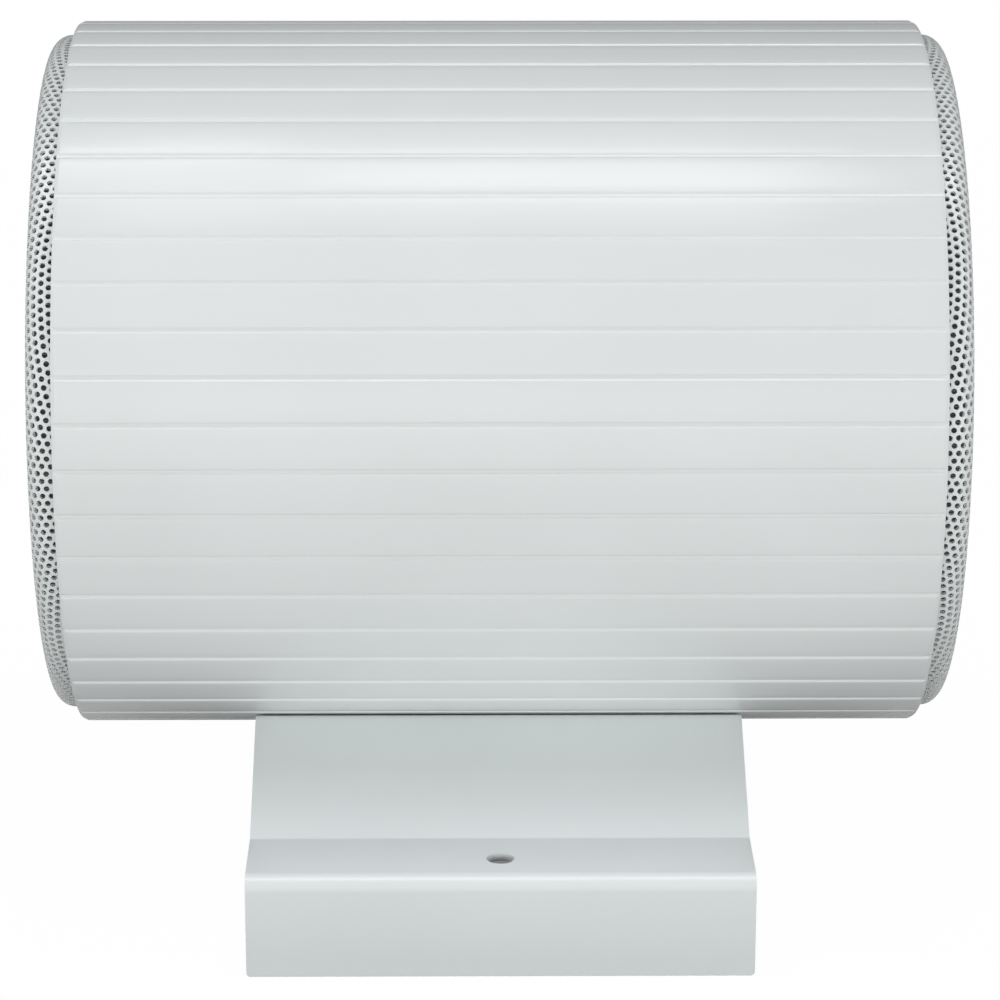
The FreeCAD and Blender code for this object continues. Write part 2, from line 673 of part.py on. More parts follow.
def make_surround():
    """Half-roll rubber edge between the basket's flange and the cone's rim."""
    middle = basket_mouth - roll_radius
    inner = roll_radius - SURROUND_SHEET
    arcs = []
    for radius in (roll_radius, inner):
        stops = [on_arc(flange_front, middle, radius, angle) for angle in (0, math.pi / 2, math.pi)]
        arcs.append(Part.Arc(*stops).toShape())
    ends = [
        line(on_arc(flange_front, middle, roll_radius, angle), on_arc(flange_front, middle, inner, angle))
        for angle in (0, math.pi)
    ]
    roll = shell_of(arcs + ends)
    landing_start = basket_mouth - SURROUND_SHEET
    landing_end = basket_mouth + SURROUND_LANDING
    leg_outside = cone_radius + SURROUND_SHEET
    landing = ring(flange_front, flange_front + SURROUND_SHEET, landing_start, landing_end)
    leg = ring(lip_back, flange_front, cone_radius, leg_outside)
    lip = ring(lip_back, lip_back + SURROUND_SHEET, cone_radius - CONE_RIM_WIDTH, leg_outside)
    return roll.fuse([landing, leg, lip]).removeSplitter()


def make_front_gasket():
    """Ring that clamps the surround's edge to the flange."""
    back = flange_front + SURROUND_SHEET
    return ring(back, back + FRONT_GASKET, basket_mouth, basket_mouth + SURROUND_LANDING)


def cone_face(radius):
    """Place along the tube of the cone's front face at a radius."""
    slope_start = cone_radius - CONE_RIM_WIDTH
    neck = former_outside + SEAT_GAP
    return cone_front - CONE_DEPTH * (slope_start - radius) / (slope_start - neck)


def make_cone():
    """Paper cone with a flat rim."""
    return turned(sheet([
        (cone_front, cone_radius), (cone_front, cone_radius - CONE_RIM_WIDTH),
        (cone_neck, former_outside + SEAT_GAP),
    ], CONE_SHEET))


def make_dust_cap():
    """Domed cap over the cone's neck."""
    seat = cone_face(CAP_RADIUS) + SEAT_GAP
    ball = (CAP_RADIUS ** 2 + CAP_RISE ** 2) / (2 * CAP_RISE)
    centre = seat + CAP_RISE - ball
    edges = []
    ends = []
    for radius in (ball, ball - CAP_SHEET):
        start = math.asin((seat - centre) / radius)
        turns = (start, (start + math.pi / 2) / 2, math.pi / 2)
        stops = [on_arc(centre, 0, radius, angle) for angle in turns]
        edges.append(Part.Arc(*stops).toShape())
        ends.append(stops)
    edges.append(line(ends[0][0], ends[1][0]))
    edges.append(line(ends[0][2], ends[1][2]))
    return shell_of(edges)


def make_spider():
    """Rippled cloth disc that centres the voice coil."""
    rim = SHELF_OUTER_RADIUS - SPIDER_RIM_GAP
    start = rim - SPIDER_LANDING
    end = former_outside + MOVING_GAP
    ripple_end = end + SPIDER_COLLAR
    base = shelf_front + SPIDER_SHEET
    points = [(base, rim), (base, start)]
    for ripple in range(1, SPIDER_RIPPLES + 1):
        share = ripple / (SPIDER_RIPPLES + 1)
        side = 1 if ripple % 2 else -1
        height = base + SPIDER_RISE * share + side * SPIDER_RIPPLE_HEIGHT
        points.append((height, start + (ripple_end - start) * share))
    points.append((base + SPIDER_RISE, ripple_end))
    points.append((base + SPIDER_RISE, end))
    return turned(sheet(points, SPIDER_SHEET))


def make_former():
    """Tube that carries the voice coil."""
    back = winding_middle - WINDING_LENGTH / 2 - FORMER_TAIL
    return ring(back, cone_neck + FORMER_TAIL, former_inside, former_outside)


def make_voice_coil():
    """Winding on the former, centred in the magnet's gap."""
    half = WINDING_LENGTH / 2
    return ring(winding_middle - half, winding_middle + half, former_outside, winding_outside)


def make_yoke():
    """Back plate and pole in one piece."""
    return turned([
        (yoke_back, 0), (yoke_back, TOP_PLATE_RADIUS), (magnet_back, TOP_PLATE_RADIUS),
        (magnet_back, POLE_RADIUS), (plate_front + POLE_PROUD, POLE_RADIUS), (plate_front + POLE_PROUD, 0),
    ])


def tag_places():
    """Back face and outer end of the loudspeaker's tag strip."""
    back = plate_front + TAG_SETBACK
    outer = -(SHELF_INNER_RADIUS + BASKET_SHEET + SEAT_GAP + TAG_HEIGHT)
    return back, outer


def make_tag_strip():
    """Strip under the basket's shelf that takes the lead."""
    back, outer = tag_places()
    return block(back, back + TAG_THICKNESS, -TAG_WIDTH / 2, TAG_WIDTH / 2, outer, outer + TAG_HEIGHT)


def make_driver_lead():
    """Lead from the transformer's winding to the tag strip."""
    back, outer = tag_places()
    start = Vector(winding_face, LEAD_SIDE, (floor_level + core_top) / 2)
    end = Vector(back, TAG_WIDTH / 4, outer + TAG_HEIGHT / 3)
    first = start + Vector(LEAD_STRAIGHT, 0, 0)
    last = end - Vector(LEAD_STRAIGHT, 0, 0)
    span = last - first
    return lead([
        start, first,
        first + span / 3 + Vector(0, LEAD_SAG, -LEAD_SAG),
        first + span * 2 / 3 + Vector(0, LEAD_SAG, -LEAD_SAG / 2),
        last, end,
    ])


def make_core():
    """Stack of E and I laminations with two windows."""
    half_stack = CORE_STACK / 2
    stack = block(-half_stack, half_stack, -core_width / 2, core_width / 2, floor_level, core_top)
    low = floor_level + CORE_LEG
    windows = [
        block(-half_stack, half_stack, y, y + CORE_LEG, low, low + CORE_WINDOW_HEIGHT)
        for y in (-2 * CORE_LEG, CORE_LEG)
    ]
    return stack.cut(windows)


def make_bobbin():
    """Moulded spool round the core's middle leg."""
    low = floor_level + CORE_LEG + BOBBIN_GAP
    high = low + CORE_WINDOW_HEIGHT - 2 * BOBBIN_GAP
    leg_x = CORE_STACK / 2 + BOBBIN_GAP
    leg_y = CORE_LEG + BOBBIN_GAP
    reach_x = winding_face + BOBBIN_FLANGE
    reach_y = 2 * CORE_LEG - BOBBIN_GAP
    spool_x = leg_x + BOBBIN_WALL
    spool_y = leg_y + BOBBIN_WALL
    spool = block(-spool_x, spool_x, -spool_y, spool_y, low, high)
    flanges = [
        block(-reach_x, reach_x, -reach_y, reach_y, z, z + BOBBIN_FLANGE)
        for z in (low, high - BOBBIN_FLANGE)
    ]
    return spool.fuse(flanges).removeSplitter().cut(block(-leg_x, leg_x, -leg_y, leg_y, low, high))


def make_winding():
    """Wound coil on the bobbin, with rounded corners."""
    low = floor_level + CORE_LEG + BOBBIN_GAP + BOBBIN_FLANGE
    high = floor_level + CORE_LEG + CORE_WINDOW_HEIGHT - BOBBIN_GAP - BOBBIN_FLANGE
    inside_x = CORE_STACK / 2 + BOBBIN_GAP + BOBBIN_WALL
    inside_y = CORE_LEG + BOBBIN_GAP + BOBBIN_WALL
    outside_y = 2 * CORE_LEG - 2 * BOBBIN_GAP
    coil = block(-winding_face, winding_face, -outside_y, outside_y, low, high)
    uprights = [edge for edge in coil.Edges if abs(edge.Length - (high - low)) < SEAT_GAP]
    coil = coil.makeFillet(WINDING_CORNER, uprights)
    return coil.cut(block(-inside_x, inside_x, -inside_y, inside_y, low, high))


def strap_holes():
    """Places across the tube of the strap's two screws."""
    place = core_width / 2 + STRAP_SHEET + STRAP_FOOT / 2
    return (-place, place)


def make_strap():
    """Sheet strap over the core, with a foot each side."""
    half = core_width / 2
    end = half + STRAP_SHEET + STRAP_FOOT
    foot = floor_level + STRAP_SHEET
    outline = sheet([
        (-end, foot), (-half - STRAP_SHEET, foot), (-half - STRAP_SHEET, core_top + STRAP_SHEET),
        (half + STRAP_SHEET, core_top + STRAP_SHEET), (half + STRAP_SHEET, foot), (end, foot),
    ], STRAP_SHEET)
    strap = face_across(outline).extrude(Vector(STRAP_WIDTH, 0, 0)).translated(Vector(-STRAP_WIDTH / 2, 0, 0))
    hole = STRAP_SCREW[2] + THROUGH_CLEARANCE
    return strap.cut([post(0, y, floor_level, foot, hole) for y in strap_holes()])


def make_strap_screws():
    """Screws through the strap's feet into the tube's floor."""
    seat = floor_level + STRAP_SHEET
    return Part.makeCompound([upright_screw(STRAP_SCREW, 0, y, seat, True) for y in strap_holes()])


def block_ways():
    """Places across the tube of the terminal block's ways."""
    step = BLOCK_LENGTH / BLOCK_WAYS
    return [step * (way + 0.5) - BLOCK_LENGTH / 2 for way in range(BLOCK_WAYS)]


def block_levels():
    """Heights of the terminal block's wire entries and of the floor of its screw wells."""
    entry = floor_level + (BLOCK_HEIGHT - BLOCK_SHOULDER) / 2
    return entry, entry + BLOCK_ENTRY_RADIUS + BLOCK_WELL_WALL


def make_terminal_block():
    """Stepped block with a wire entry and a screw well for each way."""
    low = BLOCK_TO_CORE
    high = BLOCK_TO_CORE + BLOCK_WIDTH
    top = floor_level + BLOCK_HEIGHT
    step = top - BLOCK_SHOULDER
    outline = [
        (low, floor_level), (high, floor_level), (high, step), (high - BLOCK_SHOULDER, top),
        (low + BLOCK_SHOULDER, top), (low, step),
    ]
    points = [Vector(x, -BLOCK_LENGTH / 2, z) for x, z in outline]
    body = Part.Face(Part.makePolygon(points + points[:1])).extrude(Vector(0, BLOCK_LENGTH, 0))
    entry_z, well_floor = block_levels()
    centre = (low + high) / 2
    cuts = []
    for y in block_ways():
        cuts.append(rod(low, high, y, entry_z, BLOCK_ENTRY_RADIUS))
        cuts.append(post(centre, y, well_floor, top, BLOCK_WELL_RADIUS))
        cuts.append(post(centre, y, entry_z, well_floor, CLAMP_SCREW[2] + SEAT_GAP))
    return body.cut(cuts)


def make_clamp_screws():
    """Wire-clamping screws at the bottom of the terminal block's wells."""
    seat = block_levels()[1]
    centre = BLOCK_TO_CORE + BLOCK_WIDTH / 2
    return Part.makeCompound([upright_screw(CLAMP_SCREW, centre, y, seat, True) for y in block_ways()])


def make_supply_lead():
    """Lead from the transformer's winding into the terminal block's first way."""
    way = block_ways()[0]
    start = Vector(winding_face, way / 2, (floor_level + core_top) / 2)
    end = Vector(BLOCK_TO_CORE + LEAD_ENTRY, way, block_levels()[0])
    first = start + Vector(LEAD_ENTRY, 0, 0)
    last = end - Vector(2 * LEAD_ENTRY, 0, 0)
    middle = (first + last) / 2 + Vector(LEAD_RADIUS, 0, 0)
    return lead([start, first, middle, last, end])


def end_pieces():
    """Pieces of the right-hand end, by name."""
    grille_pieces = {
        "grille": make_grille(),
        "dust_cloth": make_cloth(),
        "grille_gasket": make_grille_gasket(),
        "baffle": make_baffle(),
        "baffle_screws": screw_ring(BAFFLE_SCREW, baffle_front, boss_circle, boss_turns()),
    }
    driver_pieces = {
        "basket": make_basket(),
        "surround": make_surround(),
        "front_gasket": make_front_gasket(),
        "driver_screws": screw_ring(DRIVER_SCREW, flange_front, driver_screw_circle, driver_turns()),
        "cone": make_cone(),
        "dust_cap": make_dust_cap(),
        "spider": make_spider(),
        "coil_former": make_former(),
        "voice_coil": make_voice_coil(),
        "top_plate": ring(plate_back, plate_front, gap_radius, TOP_PLATE_RADIUS),
        "magnet": ring(magnet_back, plate_back, MAGNET_BORE_RADIUS, MAGNET_RADIUS),
        "yoke": make_yoke(),
        "tag_strip": make_tag_strip(),
        "driver_lead": make_driver_lead(),
    }
    return {**grille_pieces, **driver_pieces}


def all_pieces():
    """Every piece of the projector, by name, with the tube's axis at height zero."""
    bracket_screws, bracket_washers = make_bracket_fixings()
    gland_body, gland_locknut, gland_cap, gland_seal = make_gland()
    pieces = {
        "housing_tube": make_tube(),
        "mounting_bracket": make_bracket(),
        "saddle_gasket": make_saddle_gasket(),
        "bracket_screws": bracket_screws,
        "bracket_washers": bracket_washers,
        "gland_body": gland_body,
        "gland_locknut": gland_locknut,
        "gland_cap": gland_cap,
        "gland_seal": gland_seal,
        "transformer_core": make_core(),
        "transformer_bobbin": make_bobbin(),
        "transformer_winding": make_winding(),
        "transformer_strap": make_strap(),
        "transformer_screws": make_strap_screws(),
        "terminal_block": make_terminal_block(),
        "terminal_screws": make_clamp_screws(),
        "supply_lead": make_supply_lead(),
    }
    for name, shape in end_pieces().items():
        pieces["right_" + name] = shape
        pieces["left_" + name] = shape.mirror(ORIGIN, ALONG_X)
    return pieces


def main():
    """Write one file for each piece, with the origin under the bracket."""
    os.makedirs("parts", exist_ok=True)
    lift = Vector(0, 0, axis_height)
    for name, shape in all_pieces().items():
        shape.translated(lift).exportStep(os.path.join("parts", name + ".step"))


main()
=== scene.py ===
import json
import math

import bpy
from mathutils import Matrix, Vector
from mathutils.geometry import delaunay_2d_cdt


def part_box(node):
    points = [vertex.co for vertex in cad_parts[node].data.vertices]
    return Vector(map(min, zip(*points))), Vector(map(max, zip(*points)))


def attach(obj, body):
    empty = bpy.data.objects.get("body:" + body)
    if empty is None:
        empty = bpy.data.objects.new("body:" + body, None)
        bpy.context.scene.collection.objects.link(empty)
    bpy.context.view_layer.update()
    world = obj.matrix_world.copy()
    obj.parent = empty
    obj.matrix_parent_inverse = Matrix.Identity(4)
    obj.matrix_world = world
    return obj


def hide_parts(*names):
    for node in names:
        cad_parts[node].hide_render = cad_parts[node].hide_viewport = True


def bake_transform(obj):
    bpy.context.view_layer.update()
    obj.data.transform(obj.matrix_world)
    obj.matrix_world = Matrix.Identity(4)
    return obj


# Looks of a two-way sound projector. X runs along the tube, Y to the back and Z up, in metres.

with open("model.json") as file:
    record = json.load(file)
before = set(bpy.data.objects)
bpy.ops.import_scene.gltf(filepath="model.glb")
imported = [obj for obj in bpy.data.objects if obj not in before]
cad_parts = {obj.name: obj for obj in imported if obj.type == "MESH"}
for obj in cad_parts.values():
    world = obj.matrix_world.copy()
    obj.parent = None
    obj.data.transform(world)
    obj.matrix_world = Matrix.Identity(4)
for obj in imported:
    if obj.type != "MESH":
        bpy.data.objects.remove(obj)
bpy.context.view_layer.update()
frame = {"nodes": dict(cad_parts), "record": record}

SIDES = {"left": -1, "right": 1}
SLOTS = {part["node"]: part["material_slot"] for part in frame["record"]["subparts"]}

# Camera at the photograph's viewpoint: how the tube's axes and centre lie before it
LENS_MM = 140.5
SENSOR_MM = 36.0
CAMERA_PITCH = math.radians(17.3)
CAMERA_YAW = 0.0089
CAMERA_ROLL = -0.0018
TUBE_BEFORE_CAMERA = Vector((-0.000665, -0.03249, 0.9828))

# A camera's own axes against right, down and forward
CAMERA_AXES = (1, -1, -1)

# Lamps: centre, point aimed at, width and height, and radiance; only the top lamps show in the paint
LAMP_AIM = Vector((0, 0, 0.12))
TOP_LAMPS = {
    "top_lamp": (Vector((-0.09, -0.235, 1.12)), Vector((-0.09, -0.235, 0)), (1.06, 0.51), 2.05),
    "strip_lamp": (Vector((0.15, -0.225, 1.11)), Vector((0.15, -0.225, 0)), (0.78, 0.16), 2.35),
    "corner_lamp": (Vector((-0.57, -0.01, 1.11)), Vector((-0.57, -0.01, 0)), (0.6, 0.16), 2.7),
}
TOP_TINT = (0.99, 0.98, 1.0)
FILL_LAMPS = {
    "front_lamp": (Vector((0, -1.57, 0.245)), LAMP_AIM, (3.0, 0.385), 5.7),
    "ground_lamp": (Vector((0, -0.32, 0.004)), Vector((0, -0.32, 1)), (1.6, 0.36), 0.41),
    "back_lamp": (Vector((0, 1.45, 0.5)), LAMP_AIM, (2.4, 0.6), 2.0),
    "left_lamp": (Vector((-1.35, 0.1, 0.5)), LAMP_AIM, (1.2, 0.6), 2.0),
    "right_lamp": (Vector((1.35, 0.1, 0.5)), LAMP_AIM, (1.2, 0.6), 2.0),
}
AMBIENT = 0.137

# Floor: its size, the share of light it gives back, and how white it looks, also under the bracket
FLOOR_SIZE = 40.0
FLOOR_BOUNCE = 0.08
FLOOR_WHITE = 0.985
FLOOR_UNDER = 0.12
FLOOR_DARK_REACH = 0.012

# Coat of paint over the tube's grooves and end edges
GROOVE_COUNT = 50
GROOVE_SECTION = ((-0.00075, 0.0), (-0.00035, 0.0004), (0.00035, 0.0004), (0.00075, 0.0))
GROOVE_ROUNDING = 0.0001
LAND_STEPS = 5
COAT_PROUD = 0.00006
COAT_INSIDE = 0.0012
COAT_LIP = 0.0001
END_DEPTH = 0.0005
END_LENGTH = 0.001
END_STEPS = 4

# Perforated grilles
GRILLE_KNUCKLE = 0.0042
GRILLE_EDGE = 0.0024
GRILLE_SHEET = 0.0008
BLANK_RIM = 0.08654
HOLE_PITCH = 0.002109
HOLE_RADIUS = 0.00065
HOLE_SIDES = 8
PLAIN_HOLE_SIDES = 4
ROUND_WALL_REACH = 0.009
LATTICE_TURN = {"left": math.radians(-2.7), "right": math.radians(1.68)}
LATTICE_SHIFT = {"left": Vector((0.001419, 0.000701)), "right": Vector((0.000303, 0.00257))}
PERFORATED_BELOW_RIM = 0.0004
SKIRT_SEGMENTS = 360
CLOTH_GAP = 0.0001
CLOTH_STEPS = 60
CLOTH_SEGMENTS = 180
CLOTH_BELOW_RIM = 0.003
SHARP_ANGLE = math.radians(50)

# Parts that flex, and where the fixed edge and the moving edge of each lie along the tube
FLEXING = {"surround": (0.0957, 0.0933), "spider": (0.0744, 0.0770)}

# Textures: length of a wave at a scale of 1, and the height of a turn of wire as a share of its pitch
WAVE_LENGTH = math.tau / 20
WIRE_RELIEF = 0.3

# Colours, each as two shades that a texture runs between
PAINT = ((0.757, 0.792, 0.787), (0.779, 0.812, 0.808))
BRACKET_PAINT = ((0.750, 0.792, 0.794), (0.772, 0.812, 0.815))
BLACK_CLOTH = ((0.050, 0.052, 0.054), (0.150, 0.155, 0.160))
BLACK_RUBBER = ((0.018, 0.018, 0.018), (0.036, 0.036, 0.037))
BLACK_PLASTIC = ((0.030, 0.030, 0.033), (0.062, 0.062, 0.066))
ZINC = ((0.56, 0.57, 0.58), (0.68, 0.68, 0.66))
BLACK_ENAMEL = ((0.030, 0.030, 0.034), (0.052, 0.052, 0.056))
FERRITE = ((0.060, 0.060, 0.064), (0.105, 0.105, 0.110))
PAPER_PULP = ((0.030, 0.030, 0.031), (0.065, 0.065, 0.068))
RESIN_CLOTH = ((0.40, 0.29, 0.13), (0.62, 0.48, 0.26))
AMBER_FILM = ((0.42, 0.21, 0.06), (0.56, 0.33, 0.13))
COPPER = ((0.52, 0.22, 0.11), (0.74, 0.38, 0.22))
LAMINATIONS = ((0.10, 0.10, 0.11), (0.24, 0.24, 0.25))
NATURAL_NYLON = ((0.70, 0.67, 0.59), (0.79, 0.76, 0.69))
STEATITE = ((0.74, 0.72, 0.66), (0.85, 0.83, 0.79))
GREY_NYLON = ((0.54, 0.56, 0.56), (0.63, 0.65, 0.65))
RED_COVER = ((0.30, 0.035, 0.030), (0.40, 0.060, 0.050))


class Graph:
    """Shader nodes of one procedural material, in the object's own coordinates."""

    def __init__(self, name):
        self.material = bpy.data.materials.new(name)
        self.material.use_nodes = True
        self.tree = self.material.node_tree
        self.place = self.add("ShaderNodeTexCoord").outputs["Object"]

    def add(self, kind, **values):
        """New node with some of its sockets set."""
        made = self.tree.nodes.new(kind)
        for socket, value in values.items():
            made.inputs[socket.replace("_", " ")].default_value = value
        return made

    def join(self, source, target):
        """Link between two sockets."""
        self.tree.links.new(source, target)

    def work_out(self, operation, *terms):
        """Result of an operation on sockets and numbers."""
        made = self.add("ShaderNodeMath")
        made.operation = operation
        for term, socket in zip(terms, made.inputs):
            if isinstance(term, bpy.types.NodeSocket):
                self.join(term, socket)
            else:
                socket.default_value = term
        return made.outputs["Value"]

    def between(self, factor, low, high):
        """Factor from 0 to 1 brought between two values."""
        span = self.add("ShaderNodeMapRange", To_Min=low, To_Max=high)
        self.join(factor, span.inputs["Value"])
        return span.outputs["Result"]

    def eased(self, value, start, end):
        """Smooth step from 0 at the start to 1 at the end."""
        step = self.add("ShaderNodeMapRange", From_Min=start, From_Max=end)
        step.interpolation_type = "SMOOTHSTEP"
        self.join(value, step.inputs["Value"])
        return step.outputs["Result"]

    def mixed(self, factor, first, second):
        """Two shaders mixed by a factor."""
        mix = self.add("ShaderNodeMixShader")
        for source, socket in zip((factor, first, second), mix.inputs):
            self.join(source, socket)
        return mix.outputs["Shader"]


class Surface(Graph):
    """Textures that drive a Principled shader."""

    def __init__(self, name):
        super().__init__(name)
        self.shader = self.tree.nodes["Principled BSDF"]

    def stretched(self, stretch):
        """Object coordinates scaled along each axis."""
        mapping = self.add("ShaderNodeMapping", Scale=stretch)
        self.join(self.place, mapping.inputs["Vector"])
        return mapping.outputs["Vector"]

    def noise(self, size, detail=2.0, stretch=(1, 1, 1)):
        """Cloudy grain, with features of a given size."""
        texture = self.add("ShaderNodeTexNoise", Scale=1 / size, Detail=detail)
        self.join(self.stretched(stretch), texture.inputs["Vector"])
        return texture.outputs["Fac"]

    def cells(self, size):
        """Rounded cells of a given size."""
        texture = self.add("ShaderNodeTexVoronoi", Scale=1 / size)
        self.join(self.place, texture.inputs["Vector"])
        return texture.outputs["Distance"]

    def ridges(self, pitch, axis, distortion=0.0):
        """Even ridges across one axis, with a given pitch."""
        texture = self.add("ShaderNodeTexWave", Scale=WAVE_LENGTH / pitch, Distortion=distortion)
        texture.bands_direction = axis
        self.join(self.place, texture.inputs["Vector"])
        return texture.outputs["Fac"]

    def weave(self, pitch):
        """Threads that cross each other over the tube's end."""
        return self.work_out("MULTIPLY", self.ridges(pitch, "Y"), self.ridges(pitch, "Z"))

    def colour(self, factor, shades, spread=(0.3, 0.7)):
        """Base colour between two shades."""
        ramp = self.add("ShaderNodeValToRGB")
        for stop, place, shade in zip(ramp.color_ramp.elements, spread, shades):
            stop.position = place
            stop.color = (*shade, 1)
        self.join(factor, ramp.inputs["Fac"])
        self.join(ramp.outputs["Color"], self.shader.inputs["Base Color"])

    def roughness(self, factor, low, high):
        """Roughness between two values."""
        self.join(self.between(factor, low, high), self.shader.inputs["Roughness"])

    def relief(self, factor, height, edge=0.0):
        """Bump of a given height, over edges rounded by a given radius."""
        bump = self.add("ShaderNodeBump", Distance=height)
        self.join(factor, bump.inputs["Height"])
        if edge:
            rounding = self.add("ShaderNodeBevel", Radius=edge)
            self.join(rounding.outputs["Normal"], bump.inputs["Normal"])
        self.join(bump.outputs["Normal"], self.shader.inputs["Normal"])

    def set(self, **values):
        """Constants on the shader itself."""
        for socket, value in values.items():
            self.shader.inputs[socket.replace("_", " ")].default_value = value
        return self.material


def powder_coat(name, shades):
    """Light grey satin paint with a faint orange peel."""
    surface = Surface(name)
    cloud = surface.noise(size=0.045)
    peel = surface.noise(size=0.0011, detail=3.0)
    surface.colour(cloud, shades)
    surface.roughness(peel, low=0.17, high=0.25)
    surface.relief(peel, height=0.000012, edge=0.0001)
    return surface.material


def acoustic_cloth(name):
    """Dark open weave."""
    surface = Surface(name)
    weave = surface.weave(pitch=0.0006)
    surface.colour(weave, BLACK_CLOTH, spread=(0.1, 0.8))
    surface.relief(weave, height=0.00015)
    return surface.set(Roughness=0.95, Sheen_Weight=0.1)


def cellular_rubber(name):
    """Black rubber with fine pores."""
    surface = Surface(name)
    pores = surface.cells(size=0.0009)
    surface.colour(pores, BLACK_RUBBER)
    surface.roughness(pores, low=0.62, high=0.85)
    surface.relief(pores, height=0.00006)
    return surface.material


def textured_plastic(name, shades, grain):
    """Moulded plastic with a fine spark-eroded grain."""
    surface = Surface(name)
    pits = surface.noise(grain, detail=4.0)
    surface.colour(surface.noise(size=0.02), shades)
    surface.roughness(pits, low=0.42, high=0.62)
    surface.relief(pits, height=0.00003)
    return surface.material


def zinc_plate(name):
    """Bright zinc with a cloudy passivated tone and fine turning marks."""
    surface = Surface(name)
    cloud = surface.noise(size=0.006, detail=3.0)
    marks = surface.noise(size=0.0005, detail=4.0, stretch=(8, 1, 1))
    surface.colour(cloud, ZINC)
    surface.roughness(marks, low=0.24, high=0.42)
    surface.relief(marks, height=0.000006)
    return surface.set(Metallic=1.0)


def enamel(name):
    """Black stoved enamel on pressed steel."""
    surface = Surface(name)
    peel = surface.noise(size=0.0016, detail=2.0)
    surface.colour(surface.noise(size=0.02), BLACK_ENAMEL)
    surface.roughness(peel, low=0.24, high=0.4)
    surface.relief(peel, height=0.00002)
    return surface.material


def sintered(name, shades, grain):
    """Dull fired body with a fine grain."""
    surface = Surface(name)
    specks = surface.noise(grain, detail=6.0)
    surface.colour(specks, shades, spread=(0.35, 0.65))
    surface.roughness(specks, low=0.55, high=0.8)
    surface.relief(specks, height=0.00004)
    return surface.material


def paper_pulp(name):
    """Pressed black pulp with loose fibres."""
    surface = Surface(name)
    fibres = surface.noise(size=0.0012, detail=8.0, stretch=(1, 0.4, 0.4))
    surface.colour(fibres, PAPER_PULP)
    surface.roughness(fibres, low=0.75, high=0.95)
    surface.relief(fibres, height=0.00008)
    return surface.material


def resin_cloth(name):
    """Tan woven cloth stiffened with resin."""
    surface = Surface(name)
    weave = surface.weave(pitch=0.0008)
    surface.colour(weave, RESIN_CLOTH, spread=(0.05, 0.8))
    surface.roughness(weave, low=0.45, high=0.7)
    surface.relief(weave, height=0.00015)
    return surface.material


def amber_film(name):
    """Amber film with faint drawing lines."""
    surface = Surface(name)
    lines = surface.noise(size=0.001, detail=3.0, stretch=(6, 1, 1))
    surface.colour(lines, AMBER_FILM)
    surface.roughness(lines, low=0.2, high=0.35)
    surface.relief(lines, height=0.000005)
    return surface.material


def wound_copper(name, pitch, axis):
    """Turns of enamelled wire, side by side along one axis."""
    surface = Surface(name)
    turns = surface.ridges(pitch, axis, distortion=0.15)
    surface.colour(turns, COPPER, spread=(0.05, 0.7))
    surface.roughness(turns, low=0.22, high=0.5)
    surface.relief(turns, height=WIRE_RELIEF * pitch)
    return surface.set(Metallic=1.0)


def laminations(name):
    """Varnished stack of steel sheets, on edge along the tube."""
    surface = Surface(name)
    sheets = surface.ridges(pitch=0.0005, axis="X", distortion=0.3)
    surface.colour(sheets, LAMINATIONS, spread=(0.1, 0.7))
    surface.roughness(sheets, low=0.35, high=0.6)
    surface.relief(sheets, height=0.00008)
    return surface.set(Metallic=0.6)


def lead_cover(name):
    """Red flexible insulation."""
    surface = Surface(name)
    skin = surface.noise(size=0.0015, detail=2.0)
    surface.colour(skin, RED_COVER)
    surface.roughness(skin, low=0.38, high=0.52)
    surface.relief(skin, height=0.00002)
    return surface.material


def make_finishes():
    """The material of each slot in the record."""
    finishes = {slot: powder_coat(slot, PAINT) for slot in ("tube_paint", "grille_paint")}
    finishes["bracket_paint"] = powder_coat("bracket_paint", BRACKET_PAINT)
    finishes["dust_cloth"] = acoustic_cloth("dust_cloth")
    finishes["gasket_rubber"] = cellular_rubber("gasket_rubber")
    finishes["baffle_plastic"] = textured_plastic("baffle_plastic", BLACK_PLASTIC, grain=0.0007)
    finishes["zinc_steel"] = zinc_plate("zinc_steel")
    finishes["basket_paint"] = enamel("basket_paint")
    finishes["ferrite"] = sintered("ferrite", FERRITE, grain=0.0015)
    finishes["cone_paper"] = paper_pulp("cone_paper")
    finishes["spider_cloth"] = resin_cloth("spider_cloth")
    finishes["former_film"] = amber_film("former_film")
    finishes["copper_wire"] = wound_copper("copper_wire", pitch=0.0003, axis="X")
    finishes["core_steel"] = laminations("core_steel")
    finishes["bobbin_plastic"] = textured_plastic("bobbin_plastic", NATURAL_NYLON, grain=0.0006)
    finishes["block_ceramic"] = sintered("block_ceramic", STEATITE, grain=0.0012)
    finishes["gland_plastic"] = textured_plastic("gland_plastic", GREY_NYLON, grain=0.0005)
    finishes["lead_cover"] = lead_cover("lead_cover")
    return finishes


def dress_nodes(finishes):
    """Give each CAD node the finish of its slot, with thicker wire on the transformer."""
    thick_wire = wound_copper("transformer_wire", pitch=0.0006, axis="Z")
    for name, slot in SLOTS.items():
        materials = frame["nodes"][name].data.materials
        materials.clear()
        materials.append(thick_wire if name == "transformer_winding" else finishes[slot])


def new_piece(name, points, faces, slot, finishes):
    """Mesh piece with smooth faces and sharp edges."""
    mesh = bpy.data.meshes.new(name)
    mesh.from_pydata(points, [], faces)
    mesh.update()
    mesh.shade_smooth()
    mesh.set_sharp_from_angle(angle=SHARP_ANGLE)
    mesh.materials.append(finishes[slot])
    piece = bpy.data.objects.new(name, mesh)
    bpy.context.scene.collection.objects.link(piece)
    return piece


def directions(count):
    """Unit vectors spread evenly round a circle."""
    turns = [math.tau * index / count for index in range(count)]
    return [Vector((math.cos(turn), math.sin(turn))) for turn in turns]


